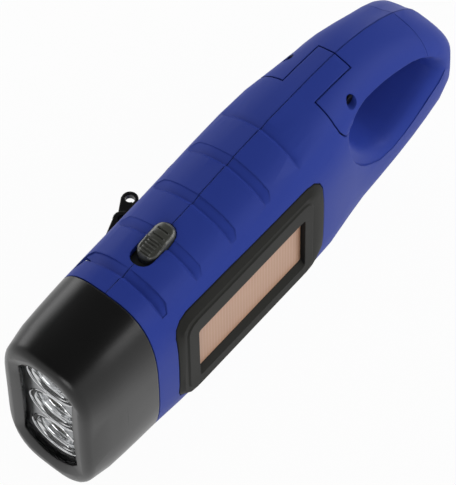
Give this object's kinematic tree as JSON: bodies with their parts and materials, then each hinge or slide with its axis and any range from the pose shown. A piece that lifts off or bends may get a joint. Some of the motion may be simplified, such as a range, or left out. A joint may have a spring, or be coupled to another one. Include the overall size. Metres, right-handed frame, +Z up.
{
  "type": "hand crank flashlight",
  "caption": "Palm-size torch with a window of lamps in a black head, a blue grip with thumb switch and solar panel, a folding crank on the far side and a snap-hook tail.",
  "frame": {"origin": "on the ground under the middle of the bounding box, the torch standing on the flat under its grip", "axes": "+X the way the beam leaves, +Y towards the solar panel, away from the crank, +Z up towards the thumb switch"},
  "size_m": [0.15, 0.0444, 0.0618],
  "materials": {
    "blue_shell": "satin moulded plastic",
    "black_abs": "satin moulded plastic",
    "clear_lens": "clear polished plastic",
    "bright_reflector": "mirror-bright metallised plastic",
    "lamp_body": "clear resin",
    "green_board": "solder mask",
    "solar_glass": "smooth sealed cell",
    "white_acetal": "moulded, slightly waxy",
    "steel": "plain drawn steel",
    "grey_metal": "pressed sheet",
    "copper_wire": "enamelled wire",
    "dark_magnet": "sintered"
  },
  "bodies": {
    "body": {"head_bezel": "black_abs", "lens": "clear_lens", "reflector": "bright_reflector", "led_1": "lamp_body", "led_2": "lamp_body", "led_3": "lamp_body", "led_board": "green_board", "left_shell": "blue_shell", "right_shell": "blue_shell", "solar_frame": "black_abs", "solar_cell": "solar_glass", "slide_switch": "grey_metal", "main_board": "green_board", "battery_holder": "black_abs", "battery_cell_1": "steel", "battery_cell_2": "steel", "battery_cell_3": "steel", "gate_pin": "steel", "gate_spring": "steel", "crank_bush": "white_acetal", "idler_axle_1": "steel", "idler_axle_2": "steel", "stator_can": "grey_metal", "coil": "copper_wire", "gearbox_frame": "black_abs", "gearbox_cover": "black_abs", "gearbox_screw_1": "steel", "gearbox_screw_2": "steel", "gearbox_screw_3": "steel", "shell_screw_1": "steel", "shell_screw_2": "steel", "shell_screw_3": "steel", "shell_screw_4": "steel", "shell_screw_5": "steel"},
    "crank": {"crank_arm": "black_abs", "crank_screw": "steel", "crank_shaft": "steel", "crank_gear": "white_acetal", "grip_pin": "steel"},
    "grip": {"crank_grip": "black_abs"},
    "idler_1": {"idler_gear_1": "white_acetal"},
    "idler_2": {"idler_gear_2": "white_acetal"},
    "rotor": {"rotor_shaft": "steel", "rotor_magnet": "dark_magnet"},
    "gate_arm": {"gate": "blue_shell"},
    "slider": {"switch_button": "black_abs", "switch_lever": "white_acetal"}
  },
  "joints": [
    {"name": "crank_turn", "type": "hinge", "parent": "body", "child": "crank", "pos_m": [0.003, -0.0127, 0.0298], "axis": [0, 1, 0], "continuous": true},
    {"name": "grip_fold", "type": "hinge", "parent": "crank", "child": "grip", "pos_m": [0.0215, -0.0157, 0.0298], "axis": [0, 0, 1], "range_deg": [0, 95]},
    {"name": "first_idler_turn", "type": "hinge", "parent": "body", "child": "idler_1", "pos_m": [0.01963, -0.0031, 0.0202], "axis": [0, 1, 0], "continuous": true},
    {"name": "second_idler_turn", "type": "hinge", "parent": "body", "child": "idler_2", "pos_m": [0.02286, -0.0011, 0.03227], "axis": [0, 1, 0], "continuous": true},
    {"name": "rotor_turn", "type": "hinge", "parent": "body", "child": "rotor", "pos_m": [0.01206, 0.0029, 0.03621], "axis": [0, 1, 0], "continuous": true},
    {"name": "gate_swing", "type": "hinge", "parent": "body", "child": "gate_arm", "pos_m": [-0.0316, 0.0049, 0.056], "axis": [0, -1, 0], "range_deg": [0, 28], "stiffness_Nm_per_rad": 0.02, "springref_deg": -20.05, "deforming": ["gate_spring"]},
    {"name": "switch_slide", "type": "slide", "parent": "body", "child": "slider", "axis": [1, 0, 0], "range_m": [0, 0.0024]}
  ],
  "couplings": [
    {"joint": "first_idler_turn", "follows": "crank_turn", "ratio": -4.3333},
    {"joint": "second_idler_turn", "follows": "crank_turn", "ratio": 17.333},
    {"joint": "rotor_turn", "follows": "crank_turn", "ratio": -62.4}
  ]
}
